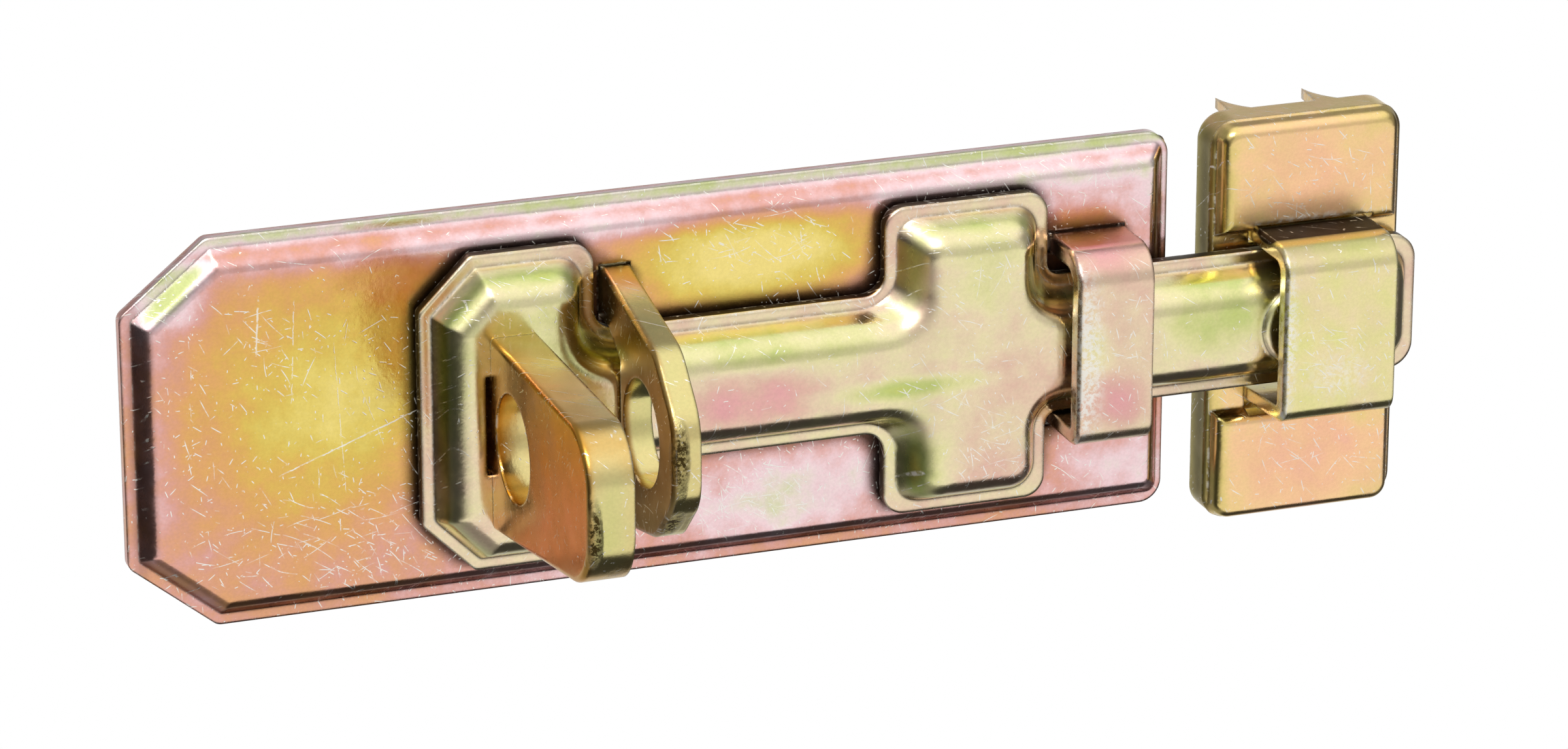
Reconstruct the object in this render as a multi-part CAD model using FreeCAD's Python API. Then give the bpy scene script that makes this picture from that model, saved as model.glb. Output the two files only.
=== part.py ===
import FreeCAD
import Part
import math
import os

# A padbolt of pressed yellow-plated steel: a sliding bolt on a base plate and a
# separate keeper. Everything is drawn in plan, with x along the travel, y up the
# door and z out of the door, and stood upright at the end. Millimetres.

# Base plate
PLATE_LENGTH = 120.0
PLATE_HEIGHT = 44.0
PLATE_SHEET = 1.4
PLATE_CHAMFER_X = 9.6
PLATE_CHAMFER_Y = 7.8
PLATE_CORNER_R = 2.6
PLATE_CHAMFER_R = 1.4
PLATE_RIM = 1.2
PLATE_END_RIM = 0.7
PLATE_STEP_WIDTH = 1.6
PLATE_STEP_R = 1.6
PLATE_PANEL = 3.2
PLATE_EDGE_R = 2.0

# Screw holes of the plate, hidden by the bolt when it is shut
SCREW_R = 2.5
SCREW_SINK_R = 3.3
SCREW_SINK_DEPTH = 0.8
SCREW_LEFT_X = -18.0
SCREW_RIGHT_X = 34.6
SCREW_Y = 12.8

# Bolt sheet
BOLT_SHEET = 1.5
BOLT_LIFT = 0.6
BOLT_RISE = 4.0
BOLT_RIM = 1.3
BOLT_SLOPE = 1.8
WING_LEFT_SLOPE = 3.0
BOLT_EDGE_R = 3.4
BOLT_CROWN_R = 3.2
HEAD_LEFT = -28.2
HEAD_WIDTH = 19.6
HEAD_HALF = 18.0
HEAD_CHAMFER = 5.8
HEAD_CHAMFER_R = 0.8
HEAD_CORNER_R = 2.4
CHANNEL_HALF = 8.0
CHANNEL_FILLET = 2.4
WING_WIDTH = 19.1
WING_HALF = 17.9
WING_CORNER_R = 2.4
WAIST_R = 1.6
TONGUE_PAST = 1.05
TONGUE_END_R = 3.0
BOSS_BACK = 15.8
BOSS_R = 4.6
BOSS_RISE = 0.5
BOSS_BREAK = 0.35

# Padlock eye, shared by both lugs
EYE_R = 6.0
EYE_OUT = 16.8

# Bolt lug, which is also the finger grip
LUG_SETBACK = 6.7
LUG_THICK = 5.1
LUG_TOP = 10.0
LUG_ROOT_BOTTOM = 12.0
LUG_TIP_BOTTOM = 6.6
LUG_OUT = 42.6
LUG_TOP_R = 6.0
LUG_TIP_R = 7.0
LUG_ROLL_R = 0.6
TENON_HALF = 5.4
TENON_SLIT = 0.6
TENON_HEAD = 1.2

# Fixed lug
FIXED_GAP = 1.5
FIXED_THICK = 3.2
FIXED_FOOT_HALF = 14.4
FIXED_SHOULDER_HALF = 10.6
FIXED_SHOULDER_OUT = 21.0
FIXED_CROWN_HALF = 4.5
FIXED_OUT = 27.2
FIXED_R = 6.0
FIXED_BREAK = 0.4
ARCH_GAP = 0.5
ARCH_R = 0.5

# Guide strap, with more room above the bolt than below it
GUIDE_INSET = 6.0
GUIDE_WIDTH = 8.9
GUIDE_SHEET = 2.0
GUIDE_UPPER_R = 3.8
GUIDE_LOWER_R = 2.6
GUIDE_ABOVE = 2.2
GUIDE_BELOW = 0.35
GUIDE_OUT_GAP = 0.7

# Keeper strap
KEEPER_GAP = 4.75
KEEPER_SET_BACK = 1.2
LOOP_INSET = 4.75
LOOP_WIDTH = 13.5
LOOP_SHEET = 1.8
LOOP_UPPER_R = 3.2
LOOP_LOWER_R = 2.4
LOOP_SIDE_GAP = 0.5
LOOP_OUT_GAP = 1.5
LOOP_FLARE = 0.9
LOOP_FOOT = 9.0
LOOP_SCREW_R = 2.4

# Keeper cover
COVER_WIDTH = 23.2
COVER_HEIGHT = 47.4
COVER_DROP = 1.0
COVER_SHEET = 1.2
COVER_CORNER_R = 3.0
COVER_FRAME = 4.0
COVER_BREAK = 0.4
COVER_BLOCK = 1.7
COVER_BLOCK_R = 2.0
COVER_BLOCK_HALF = 10.2
COVER_SIDE_RIM = 0.4
COVER_SIDE_SLOPE = 0.8
COVER_END_RIM = 0.15
COVER_END_SLOPE = 0.4
COVER_INNER_SLOPE = 1.0
COVER_EDGE_R = 1.3
WINDOW_LEFT = 0.2
WINDOW_RIGHT = 0.9
WINDOW_ABOVE = 0.3
WINDOW_BELOW = 1.0
WINDOW_INSIDE = 0.4
SPIKE_LONG = 4.6
SPIKE_WIDE = 3.6
SPIKE_TIP = 0.5
SPIKE_BOW = 0.9
SPIKE_INSET = 3.6
SPIKE_PITCH = 10.6

# Shared clearances and the upset of the riveted feet
SLOT_GAP = 0.25
STOP_GAP = 0.4
UPSET = 0.6
UPSET_DEPTH = 1.0
STRAP_BREAK = 0.4
CUT_PAST = 1.0


def corner_reach(radius, gap):
    """How far an inner corner's fillet stands out at a given gap from its side."""
    if gap >= radius:
        return 0.0
    return radius - math.sqrt(radius ** 2 - (radius - gap) ** 2)


# Levels out of the door
PANEL_BACK = PLATE_PANEL - PLATE_SHEET
BOLT_BACK = PLATE_PANEL + BOLT_LIFT
BOLT_RIM_FRONT = BOLT_BACK + BOLT_SHEET
BOLT_FRONT = BOLT_RIM_FRONT + BOLT_RISE
BOLT_INNER = BOLT_FRONT - BOLT_SHEET
GUIDE_FRONT = BOLT_FRONT + BOSS_RISE + GUIDE_OUT_GAP + GUIDE_SHEET
KEEPER_BACK = -KEEPER_SET_BACK
LOOP_FRONT = BOLT_FRONT + BOSS_RISE + LOOP_OUT_GAP + LOOP_SHEET
FRAME_FRONT = KEEPER_BACK + COVER_FRAME
BLOCK_FRONT = FRAME_FRONT + COVER_BLOCK

# Places along the travel, worked out from left to right
HEAD_RIGHT = HEAD_LEFT + HEAD_WIDTH
LUG_LEFT = HEAD_LEFT + LUG_SETBACK
LUG_RIGHT = LUG_LEFT + LUG_THICK
FIXED_LEFT = HEAD_RIGHT + FIXED_GAP
FIXED_RIGHT = FIXED_LEFT + FIXED_THICK
GUIDE_RIGHT = PLATE_LENGTH / 2.0 - GUIDE_INSET
GUIDE_LEFT = GUIDE_RIGHT - GUIDE_WIDTH
WING_RIGHT = GUIDE_LEFT - STOP_GAP - corner_reach(WAIST_R, GUIDE_BELOW)
WING_LEFT = WING_RIGHT - WING_WIDTH
COVER_LEFT = PLATE_LENGTH / 2.0 + KEEPER_GAP
COVER_RIGHT = COVER_LEFT + COVER_WIDTH
LOOP_RIGHT = COVER_RIGHT - LOOP_INSET
LOOP_LEFT = LOOP_RIGHT - LOOP_WIDTH
TONGUE_END = COVER_RIGHT + TONGUE_PAST
BOSS_X = TONGUE_END - BOSS_BACK
TRAVEL = WING_LEFT - FIXED_RIGHT - STOP_GAP - corner_reach(CHANNEL_FILLET, ARCH_GAP)
FRAME_X = (SCREW_LEFT_X + SCREW_RIGHT_X) / 2.0


def move_edges(points, moves):
    """Corner points after each edge has moved inwards by its own amount."""
    count = len(points)
    lines = []
    for index in range(count):
        ax, ay = points[index]
        bx, by = points[(index + 1) % count]
        length = math.hypot(bx - ax, by - ay)
        nx = -(by - ay) / length
        ny = (bx - ax) / length
        lines.append((nx, ny, nx * ax + ny * ay + moves[index]))
    moved = []
    for index in range(count):
        a1, b1, c1 = lines[index - 1]
        a2, b2, c2 = lines[index]
        det = a1 * b2 - a2 * b1
        moved.append(((c1 * b2 - c2 * b1) / det, (a1 * c2 - a2 * c1) / det))
    return moved


def corner_radii(points, radii, move, least):
    """Radii after an inward move: outer corners shrink, inner corners grow."""
    changed = []
    for index, (x, y) in enumerate(points):
        px, py = points[index - 1]
        nx, ny = points[(index + 1) % len(points)]
        turn = (x - px) * (ny - y) - (y - py) * (nx - x)
        if turn > 0.0:
            changed.append(max(radii[index] - move, least))
        else:
            changed.append(radii[index] + move)
    return changed


def edges_at(shape, level):
    """Edges that lie wholly at one level."""
    found = []
    for edge in shape.Edges:
        if abs(edge.BoundBox.ZMin - level) < 1e-4 and abs(edge.BoundBox.ZMax - level) < 1e-4:
            found.append(edge)
    return found


def tapered(points, radii, low, low_moves, high, high_moves):
    """Flat-sided block on an outline whose edges lean in, with rounded corners."""
    bottom = [FreeCAD.Vector(x, y, low) for x, y in move_edges(points, low_moves)]
    top = [FreeCAD.Vector(x, y, high) for x, y in move_edges(points, high_moves)]
    count = len(points)
    faces = [Part.Face(Part.makePolygon(ring + ring[:1])) for ring in (bottom[::-1], top)]
    for index in range(count):
        after = (index + 1) % count
        side = [bottom[index], bottom[after], top[after], top[index], bottom[index]]
        faces.append(Part.Face(Part.makePolygon(side)))
    solid = Part.makeSolid(Part.makeShell(faces))
    for radius in sorted(set(radii)):
        corners = []
        for index in range(count):
            middle = (bottom[index] + top[index]) * 0.5
            if radii[index] != radius or radius <= 0.0:
                continue
            for edge in solid.Edges:
                ends = edge.BoundBox.Center
                if ends.distanceToPoint(middle) < 1e-4 and edge.BoundBox.ZLength > 0.9 * (high - low):
                    corners.append(edge)
        if corners:
            solid = solid.makeFillet(radius, corners)
    return solid


def upright(points, radii, low, high):
    """Straight block on an outline with rounded corners."""
    still = [0.0] * len(points)
    return tapered(points, radii, low, still, high, still)


def box(x0, x1, y0, y1, z0, z1):
    """Square block between two corners."""
    return Part.makeBox(x1 - x0, y1 - y0, z1 - z0, FreeCAD.Vector(x0, y0, z0))


def mirrored(upper):
    """Full outline, anticlockwise, from its upper half given right to left."""
    return upper + [(x, -y) for x, y in reversed(upper)]


def standing(points, radii, x0, x1):
    """Plate standing out of the door: a (y, z) outline with its thickness along x."""
    solid = upright(points, radii, 0.0, x1 - x0)
    solid.rotate(FreeCAD.Vector(0, 0, 0), FreeCAD.Vector(1, 1, 1), 120)
    solid.translate(FreeCAD.Vector(x0, 0, 0))
    return solid


def blanked_edges(shape, plane, keep_off, floor):
    """Outer edges on one x plane, where blanking rolled the sheet over."""
    found = []
    for edge in shape.Edges:
        bounds = edge.BoundBox
        flat = abs(bounds.XMin - plane) < 1e-4 and abs(bounds.XMax - plane) < 1e-4
        if flat and bounds.ZMax > floor + 1e-3 and edge.distToShape(keep_off)[0] > 1e-3:
            found.append(edge)
    return found


def strap(x0, x1, upper, lower, lower_back, back, front, sheet, upper_r, lower_r):
    """U-shaped strap over the bolt, open to the door, with its left edge broken."""
    outer = [(-lower_back, back), (upper, back), (upper, front), (-lower, front)]
    inner = [
        (-lower_back + sheet, back), (upper - sheet, back),
        (upper - sheet, front - sheet), (-lower + sheet, front - sheet)]
    lean = (lower_back - lower) / (front - back) * CUT_PAST
    inner[0] = (-lower_back + sheet - lean, back - CUT_PAST)
    inner[1] = (upper - sheet, back - CUT_PAST)
    body = standing(outer, [0.0, 0.0, upper_r, lower_r], x0, x1)
    room = standing(
        inner, [0.0, 0.0, max(upper_r - sheet, 0.3), max(lower_r - sheet, 0.3)],
        x0 - CUT_PAST, x1 + CUT_PAST)
    body = body.makeChamfer(STRAP_BREAK, blanked_edges(body, x0, room, back))
    return body.cut(room)


# Outline of the base plate, anticlockwise from the lower left
half_length = PLATE_LENGTH / 2.0
half_height = PLATE_HEIGHT / 2.0
plate_points = [
    (-half_length + PLATE_CHAMFER_X, -half_height),
    (half_length, -half_height),
    (half_length, half_height),
    (-half_length + PLATE_CHAMFER_X, half_height),
    (-half_length, half_height - PLATE_CHAMFER_Y),
    (-half_length, -half_height + PLATE_CHAMFER_Y),
]
plate_radii = [
    PLATE_CHAMFER_R, PLATE_CORNER_R, PLATE_CORNER_R,
    PLATE_CHAMFER_R, PLATE_CHAMFER_R, PLATE_CHAMFER_R]
step_grade = PLATE_STEP_WIDTH / (PLATE_PANEL - PLATE_SHEET)


def plate_moves(level, thickness):
    """How far every plate edge has moved in at a level, with a wall to leave."""
    rims = [PLATE_RIM, PLATE_END_RIM] + [PLATE_RIM] * 4
    return [rim + thickness + (level - PLATE_SHEET) * step_grade for rim in rims]


base_plate = upright(plate_points, plate_radii, 0.0, PLATE_SHEET)
raised_radii = [PLATE_STEP_R if at == PLATE_CORNER_R else 0.0 for at in plate_radii]
raised = tapered(
    plate_points, raised_radii,
    PLATE_SHEET - 0.5 * PLATE_SHEET, plate_moves(0.5 * PLATE_SHEET, 0.0),
    PLATE_PANEL, plate_moves(PLATE_PANEL, 0.0))
raised = raised.makeFillet(PLATE_EDGE_R, edges_at(raised, PLATE_PANEL))
base_plate = base_plate.fuse(raised)
step_wall = PLATE_SHEET * math.hypot(1.0, step_grade)
base_plate = base_plate.cut(tapered(
    plate_points, [0.0] * len(plate_points),
    -CUT_PAST, plate_moves(-CUT_PAST, step_wall), PANEL_BACK, plate_moves(PANEL_BACK, step_wall)))
for screw_x in (SCREW_LEFT_X, SCREW_RIGHT_X):
    for screw_y in (-SCREW_Y, SCREW_Y):
        hole = Part.makeCylinder(
            SCREW_R, PLATE_PANEL + CUT_PAST, FreeCAD.Vector(screw_x, screw_y, 0))
        sink = Part.makeCone(
            SCREW_R, SCREW_SINK_R, SCREW_SINK_DEPTH,
            FreeCAD.Vector(screw_x, screw_y, PLATE_PANEL - SCREW_SINK_DEPTH))
        base_plate = base_plate.cut(hole.fuse(sink))

# Bolt sheet: rim, leaning sides and one plateau from the head to the tongue
upper_half = [
    (TONGUE_END, CHANNEL_HALF),
    (WING_RIGHT, CHANNEL_HALF),
    (WING_RIGHT, WING_HALF),
    (WING_LEFT, WING_HALF),
    (WING_LEFT, CHANNEL_HALF),
    (HEAD_RIGHT, CHANNEL_HALF),
    (HEAD_RIGHT, HEAD_HALF),
    (HEAD_LEFT + HEAD_CHAMFER, HEAD_HALF),
    (HEAD_LEFT, HEAD_HALF - HEAD_CHAMFER),
]
upper_radii = [
    TONGUE_END_R, WAIST_R, WING_CORNER_R, WING_CORNER_R, CHANNEL_FILLET,
    CHANNEL_FILLET, HEAD_CORNER_R, HEAD_CHAMFER_R, HEAD_CHAMFER_R]
bolt_points = mirrored(upper_half)
bolt_radii = upper_radii + upper_radii[::-1]


def bolt_moves(level, thickness):
    """How far each bolt edge has moved in at a level; the wings' left sides lean most."""
    moves = []
    for index, (x, y) in enumerate(bolt_points):
        after = bolt_points[(index + 1) % len(bolt_points)]
        lean = WING_LEFT_SLOPE if x == WING_LEFT and after[0] == WING_LEFT else BOLT_SLOPE
        moves.append(BOLT_RIM + thickness + (level - BOLT_RIM_FRONT) * lean / BOLT_RISE)
    return moves


bolt_slide = upright(bolt_points, bolt_radii, BOLT_BACK, BOLT_RIM_FRONT)
crown_low = BOLT_RIM_FRONT - 0.5 * BOLT_SHEET
crown_radii = corner_radii(bolt_points, bolt_radii, BOLT_RIM + 0.5 * BOLT_SLOPE, BOLT_CROWN_R)
crown_radii = [0.0 if at == HEAD_CHAMFER_R else radius for at, radius in zip(bolt_radii, crown_radii)]
crown = tapered(
    bolt_points, crown_radii,
    crown_low, bolt_moves(crown_low, 0.0), BOLT_FRONT, bolt_moves(BOLT_FRONT, 0.0))
crown = crown.makeFillet(BOLT_EDGE_R, edges_at(crown, BOLT_FRONT))
boss = Part.makeCylinder(BOSS_R, BOSS_RISE + CUT_PAST, FreeCAD.Vector(BOSS_X, 0, BOLT_FRONT - CUT_PAST))
boss = boss.makeChamfer(BOSS_BREAK, edges_at(boss, BOLT_FRONT + BOSS_RISE))
bolt_slide = bolt_slide.fuse([crown, boss])
bolt_wall = BOLT_SHEET * math.hypot(1.0, BOLT_SLOPE / BOLT_RISE)
inner_low = BOLT_BACK - CUT_PAST
bolt_slide = bolt_slide.cut(tapered(
    bolt_points, [0.0] * len(bolt_points),
    inner_low, bolt_moves(inner_low, bolt_wall), BOLT_INNER, bolt_moves(BOLT_INNER, bolt_wall)))
bolt_slide = bolt_slide.cut(box(
    LUG_LEFT - TENON_SLIT, LUG_RIGHT + SLOT_GAP, -TENON_HALF - SLOT_GAP, TENON_HALF + SLOT_GAP,
    BOLT_INNER - CUT_PAST, BOLT_FRONT + CUT_PAST))

# Bolt lug: blanked plate riveted into the head, rolled over on its left face
eye = Part.makeCylinder(
    EYE_R, PLATE_LENGTH, FreeCAD.Vector(-half_length - FIXED_LEFT, 0, EYE_OUT), FreeCAD.Vector(1, 0, 0))
lug_points = [
    (-LUG_ROOT_BOTTOM, BOLT_FRONT), (LUG_TOP, BOLT_FRONT), (LUG_TOP, LUG_OUT), (-LUG_TIP_BOTTOM, LUG_OUT)]
bolt_lug = standing(lug_points, [0.0, 0.0, LUG_TOP_R, LUG_TIP_R], LUG_LEFT, LUG_RIGHT)
bolt_lug = bolt_lug.makeFillet(LUG_ROLL_R, blanked_edges(bolt_lug, LUG_LEFT, eye, BOLT_FRONT))
tenon = box(LUG_LEFT, LUG_RIGHT, -TENON_HALF, TENON_HALF, BOLT_INNER, BOLT_FRONT)
tenon_head = box(
    LUG_LEFT, LUG_RIGHT + UPSET, -TENON_HALF - UPSET, TENON_HALF + UPSET,
    BOLT_INNER - TENON_HEAD, BOLT_INNER)
bolt_lug = bolt_lug.fuse([tenon, tenon_head]).cut(eye)

# Fixed lug: arch over the channel, with two legs riveted through the panel
fixed_points = [
    (-FIXED_FOOT_HALF, PLATE_PANEL), (FIXED_FOOT_HALF, PLATE_PANEL),
    (FIXED_SHOULDER_HALF, FIXED_SHOULDER_OUT), (FIXED_CROWN_HALF, FIXED_OUT),
    (-FIXED_CROWN_HALF, FIXED_OUT), (-FIXED_SHOULDER_HALF, FIXED_SHOULDER_OUT)]
arch_half = CHANNEL_HALF + ARCH_GAP
arch_top_half = CHANNEL_HALF - BOLT_RIM - BOLT_SLOPE + 2.0 * ARCH_GAP
arch_points = [
    (-arch_half, PANEL_BACK - UPSET_DEPTH - CUT_PAST), (arch_half, PANEL_BACK - UPSET_DEPTH - CUT_PAST),
    (arch_half, BOLT_RIM_FRONT + ARCH_GAP), (arch_top_half, BOLT_FRONT + ARCH_GAP),
    (-arch_top_half, BOLT_FRONT + ARCH_GAP), (-arch_half, BOLT_RIM_FRONT + ARCH_GAP)]
arch = standing(
    arch_points, [0.0, 0.0, ARCH_R, ARCH_R, ARCH_R, ARCH_R], FIXED_LEFT - CUT_PAST, FIXED_RIGHT + CUT_PAST)
fixed_lug = standing(fixed_points, [0.0, 0.0, FIXED_R, FIXED_R, FIXED_R, FIXED_R], FIXED_LEFT, FIXED_RIGHT)
fixed_lug = fixed_lug.makeChamfer(FIXED_BREAK, blanked_edges(fixed_lug, FIXED_LEFT, arch, PLATE_PANEL))
fixed_lug = fixed_lug.cut(arch).cut(eye)


def rivet_leg(solid, panel, x0, x1, y0, y1, spread_x, spread_y):
    """Leg through its slot in the panel, upset behind it; returns the leg and the panel."""
    leg = box(x0, x1, y0, y1, PANEL_BACK - UPSET_DEPTH, PLATE_PANEL)
    head = box(
        x0 - spread_x, x1 + spread_x, y0 - spread_y, y1 + spread_y, PANEL_BACK - UPSET_DEPTH, PANEL_BACK)
    slot = box(
        x0 - SLOT_GAP, x1 + SLOT_GAP, y0 - SLOT_GAP, y1 + SLOT_GAP,
        PANEL_BACK - CUT_PAST, PLATE_PANEL + CUT_PAST)
    return solid.fuse([leg, head]), panel.cut(slot)


for low, high in ((-FIXED_FOOT_HALF, -arch_half), (arch_half, FIXED_FOOT_HALF)):
    fixed_lug, base_plate = rivet_leg(
        fixed_lug, base_plate, FIXED_LEFT, FIXED_RIGHT, low, high, UPSET, 0.0)

# Guide strap at the right end of the plate
guide_upper = CHANNEL_HALF + GUIDE_ABOVE + GUIDE_SHEET
guide_lower = CHANNEL_HALF + GUIDE_BELOW + GUIDE_SHEET
guide_strap = strap(
    GUIDE_LEFT, GUIDE_RIGHT, guide_upper, guide_lower, guide_lower, PLATE_PANEL, GUIDE_FRONT,
    GUIDE_SHEET, GUIDE_UPPER_R, GUIDE_LOWER_R)
for low, high in ((-guide_lower, GUIDE_SHEET - guide_lower), (guide_upper - GUIDE_SHEET, guide_upper)):
    guide_strap, base_plate = rivet_leg(
        guide_strap, base_plate, GUIDE_LEFT, GUIDE_RIGHT, low, high, 0.0, UPSET)

# Keeper strap: loop with two feet turned out behind the cover
loop_upper = CHANNEL_HALF + LOOP_SIDE_GAP + LOOP_SHEET
loop_lower = loop_upper + LOOP_FLARE
keeper_strap = strap(
    LOOP_LEFT, LOOP_RIGHT, loop_upper, loop_upper, loop_lower, KEEPER_BACK, LOOP_FRONT,
    LOOP_SHEET, LOOP_UPPER_R, LOOP_LOWER_R)
loop_middle = (LOOP_LEFT + LOOP_RIGHT) / 2.0
for root, end in ((loop_upper, loop_upper + LOOP_FOOT), (-loop_lower, -loop_lower - LOOP_FOOT)):
    inside = root - math.copysign(LOOP_SHEET, root)
    foot = box(
        LOOP_LEFT, LOOP_RIGHT, min(inside, end), max(inside, end), KEEPER_BACK, KEEPER_BACK + LOOP_SHEET)
    screw = Part.makeCylinder(
        LOOP_SCREW_R, LOOP_FRONT, FreeCAD.Vector(loop_middle, (root + end) / 2.0, KEEPER_BACK - CUT_PAST))
    keeper_strap = keeper_strap.fuse(foot).cut(screw)

# Keeper cover: shallow tray with two raised blocks, a slot for each strap leg and four spikes
cover_middle = -COVER_DROP
cover_top = cover_middle + COVER_HEIGHT / 2.0
cover_bottom = cover_middle - COVER_HEIGHT / 2.0


def outline(x0, x1, y0, y1):
    """Rectangle, anticlockwise from the lower left."""
    return [(x0, y0), (x1, y0), (x1, y1), (x0, y1)]


cover_points = outline(COVER_LEFT, COVER_RIGHT, cover_bottom, cover_top)
tray = upright(cover_points, [COVER_CORNER_R] * 4, KEEPER_BACK, FRAME_FRONT)
tray = tray.makeChamfer(COVER_BREAK, edges_at(tray, FRAME_FRONT))
tray_points = move_edges(cover_points, [COVER_SHEET] * 4)
hollows = [upright(
    tray_points, [0.0] * 4, KEEPER_BACK - CUT_PAST, FRAME_FRONT - COVER_SHEET)]
keeper_cover = tray
block_low = FRAME_FRONT - 0.5 * COVER_SHEET
inner_edges = (cover_middle + COVER_BLOCK_HALF, cover_middle - COVER_BLOCK_HALF)
for inner_edge, outer_edge in zip(inner_edges, (cover_top, cover_bottom)):
    block_points = outline(COVER_LEFT, COVER_RIGHT, min(inner_edge, outer_edge), max(inner_edge, outer_edge))
    rims = [COVER_END_RIM, COVER_SIDE_RIM, COVER_END_RIM, COVER_SIDE_RIM]
    slopes = [COVER_END_SLOPE, COVER_SIDE_SLOPE, COVER_END_SLOPE, COVER_SIDE_SLOPE]
    inner_side = 0 if outer_edge == cover_top else 2
    rims[inner_side] = 0.0
    slopes[inner_side] = COVER_INNER_SLOPE
    tops = [rim + slope for rim, slope in zip(rims, slopes)]
    block_radii = [COVER_BLOCK_R if y == outer_edge else 0.0 for _, y in block_points]
    block = tapered(block_points, block_radii, block_low, rims, BLOCK_FRONT, tops)
    block = block.makeFillet(COVER_EDGE_R, edges_at(block, BLOCK_FRONT))
    keeper_cover = keeper_cover.fuse(block)
    hollows.append(tapered(
        block_points, [0.0] * 4,
        FRAME_FRONT - 2.0 * COVER_SHEET, [rim + COVER_SHEET for rim in rims],
        BLOCK_FRONT - COVER_SHEET, [top + COVER_SHEET for top in tops]))
keeper_cover = keeper_cover.cut(hollows)
slot_edge = CHANNEL_HALF + LOOP_SIDE_GAP - WINDOW_INSIDE
for low, high in ((-loop_lower - WINDOW_BELOW, -slot_edge), (slot_edge, loop_upper + WINDOW_ABOVE)):
    keeper_cover = keeper_cover.cut(box(
        LOOP_LEFT - WINDOW_LEFT, LOOP_RIGHT + WINDOW_RIGHT, low, high,
        KEEPER_BACK - CUT_PAST, BLOCK_FRONT + CUT_PAST))
for wall in (cover_top, cover_bottom + COVER_SHEET):
    for left in (COVER_LEFT + SPIKE_INSET, COVER_LEFT + SPIKE_INSET + SPIKE_PITCH):
        tip = FreeCAD.Vector(left + SPIKE_TIP, wall, KEEPER_BACK - SPIKE_LONG)
        root_left = FreeCAD.Vector(left, wall, KEEPER_BACK + 0.5 * COVER_SHEET)
        root_right = FreeCAD.Vector(left + SPIKE_WIDE, wall, KEEPER_BACK + 0.5 * COVER_SHEET)
        bow = FreeCAD.Vector(left + SPIKE_TIP + SPIKE_BOW, wall, KEEPER_BACK - 0.4 * SPIKE_LONG)
        spike = Part.Face(Part.Wire([
            Part.makeLine(root_left, tip), Part.Arc(tip, bow, root_right).toShape(),
            Part.makeLine(root_right, root_left)]))
        keeper_cover = keeper_cover.fuse(spike.extrude(FreeCAD.Vector(0, -COVER_SHEET, 0)))

nodes = {
    "base_plate": base_plate,
    "fixed_lug": fixed_lug,
    "guide_strap": guide_strap,
    "bolt_slide": bolt_slide,
    "bolt_lug": bolt_lug,
    "keeper_strap": keeper_strap,
    "keeper_cover": keeper_cover,
}
os.makedirs("parts", exist_ok=True)
print("travel", round(TRAVEL, 4))
for name, shape in nodes.items():
    solid = shape.removeSplitter()
    solid.translate(FreeCAD.Vector(-FRAME_X, 0, -PANEL_BACK))
    solid.rotate(FreeCAD.Vector(0, 0, 0), FreeCAD.Vector(1, 0, 0), 90)
    print(name, len(solid.Solids), solid.isValid(), round(solid.Volume, 1))
    solid.exportStep("parts/" + name + ".step")
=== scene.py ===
"""Scene of a sliding padbolt: pressed steel, zinc plated and yellow passivated, on a white ground."""

import logging
import math
from dataclasses import dataclass
from enum import Enum
from typing import Sequence

import bmesh
import bpy
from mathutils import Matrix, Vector


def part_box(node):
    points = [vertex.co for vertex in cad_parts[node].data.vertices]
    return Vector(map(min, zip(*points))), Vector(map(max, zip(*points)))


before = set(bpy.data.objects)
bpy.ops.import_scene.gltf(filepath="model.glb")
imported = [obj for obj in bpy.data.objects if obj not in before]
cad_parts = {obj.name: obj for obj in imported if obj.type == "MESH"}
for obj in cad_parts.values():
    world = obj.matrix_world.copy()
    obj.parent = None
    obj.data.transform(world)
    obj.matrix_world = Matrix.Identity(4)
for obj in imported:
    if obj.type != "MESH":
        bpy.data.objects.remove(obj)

LOG = logging.getLogger("padbolt")
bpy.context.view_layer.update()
MM = 1000.0
FULL_TURN = 6.283

# Half size of a mark that covers a whole piece, in millimetres
EVERYWHERE = 400.0

# Middle of a noise or a chance that runs from 0 to 1
MIDDLE = 0.5

Point = tuple[float, float, float]
Colour = tuple[float, float, float, float]
Socket = bpy.types.NodeSocket

# The curve of the sRGB standard
SRGB_KNEE = 0.04045
SRGB_SLOPE = 12.92
SRGB_LIFT = 0.055
SRGB_POWER = 2.4

# Socket numbers of a Mix node that mixes colours
MIX_SHARE = 0
MIX_FIRST = 6
MIX_SECOND = 7
MIX_RESULT = 2


class Face(Enum):
    """The two directions in which a piece's scratches are laid out, skewed to wrap round its edges."""

    FRONT = ((1.0, 0.7, 0.0), (0.0, 0.6, 1.0))
    SIDE = ((1.0, 1.0, 0.0), (0.0, 0.0, 1.0))


class Effect(Enum):
    """What a local mark does to the finish."""

    FILM = "film"
    WEAR = "wear"
    # Paints shade into the colour at a marked place
    GRIME = "grime"
    BREAK = "break"
    SCUFF = "scuff"
    MATT = "matt"


def shown(red: int, green: int, blue: int) -> Colour:
    """Gives the linear colour of a tint written as it shows on a screen.

    Args:
        red: Red from 0 to 255.
        green: Green from 0 to 255.
        blue: Blue from 0 to 255.

    Returns:
        The linear colour with full opacity.
    """
    linear = []
    for level in (red, green, blue):
        share = level / 255.0
        if share <= SRGB_KNEE:
            linear.append(share / SRGB_SLOPE)
        else:
            linear.append(((share + SRGB_LIFT) / (1.0 + SRGB_LIFT)) ** SRGB_POWER)
    return (linear[0], linear[1], linear[2], 1.0)


@dataclass(frozen=True)
class Stop:
    """A colour of the passive film and the film depth at which it shows."""

    depth: float
    colour: Colour


@dataclass(frozen=True)
class Mark:
    """A soft-edged place where the finish differs, in millimetres."""

    centre: Point
    reach: Point
    amount: float
    effect: Effect = Effect.FILM


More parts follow.
